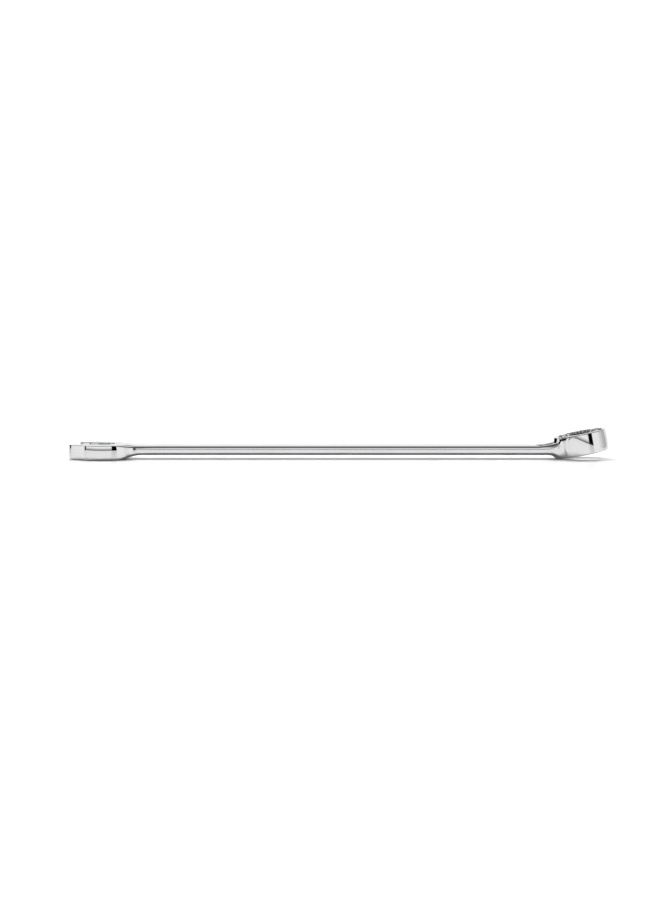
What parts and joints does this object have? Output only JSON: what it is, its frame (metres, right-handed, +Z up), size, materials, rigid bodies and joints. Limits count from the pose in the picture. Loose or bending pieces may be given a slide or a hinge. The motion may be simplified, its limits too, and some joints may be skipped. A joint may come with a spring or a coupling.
{
  "type": "ratchet wrench",
  "caption": "Long chromed combination wrench with an open jaw at one end and an offset reversible ratcheting twelve-point ring with a small lever at the other",
  "frame": {"origin": "middle of the bounding box's underside, on the surface that the wrench lies on", "axes": "+X along the shank from the open end to the ratchet ring, +Y across the shank, +Z up from the surface it lies on"},
  "size_m": [0.2498, 0.0278, 0.0141],
  "materials": {
    "polished_chrome": "mirror-polished chrome plate over a drop forging",
    "gear_steel": "plated, machined",
    "washer_steel": "spring steel",
    "cover_steel": "plated",
    "snap_steel": "spring steel",
    "pawl_steel": "hardened, machined",
    "plunger_steel": "ground",
    "coil_steel": "spring steel",
    "lever_chrome": "satin chrome",
    "clip_steel": "spring steel"
  },
  "bodies": {
    "handle": {"wrench_body": "polished_chrome", "gear_friction_washer": "washer_steel", "gear_cover_ring": "cover_steel", "gear_snap_ring": "snap_steel", "lever_retaining_ring": "clip_steel"},
    "gear": {"ratchet_gear": "gear_steel"},
    "lever": {"reversing_lever": "lever_chrome", "pawl_spring": "coil_steel"},
    "plunger": {"pawl_plunger": "plunger_steel"},
    "pawl_body": {"pawl": "pawl_steel"}
  },
  "joints": [
    {"name": "gear_spin", "type": "hinge", "parent": "handle", "child": "gear", "pos_m": [0.1124, -0.00011, 0.00712], "axis": [-0.1908, 0, 0.9816], "continuous": true},
    {"name": "lever_flip", "type": "hinge", "parent": "handle", "child": "lever", "pos_m": [0.0965, -0.00011, 0.00403], "axis": [-0.1908, 0, 0.9816], "range_deg": [0, 36]},
    {"name": "pawl_rock", "type": "hinge", "parent": "handle", "child": "pawl_body", "pos_m": [0.10131, -0.00011, 0.00496], "axis": [-0.1908, 0, 0.9816], "range_deg": [-13, 0]},
    {"name": "plunger_slide", "type": "slide", "parent": "lever", "child": "plunger", "axis": [0.9336, -0.309, 0.1815], "range_m": [-0.0005, 0], "stiffness_N_per_m": 1500, "deforming": ["pawl_spring"]}
  ],
  "couplings": [
    {"joint": "pawl_rock", "follows": "lever_flip", "ratio": -0.36111}
  ]
}
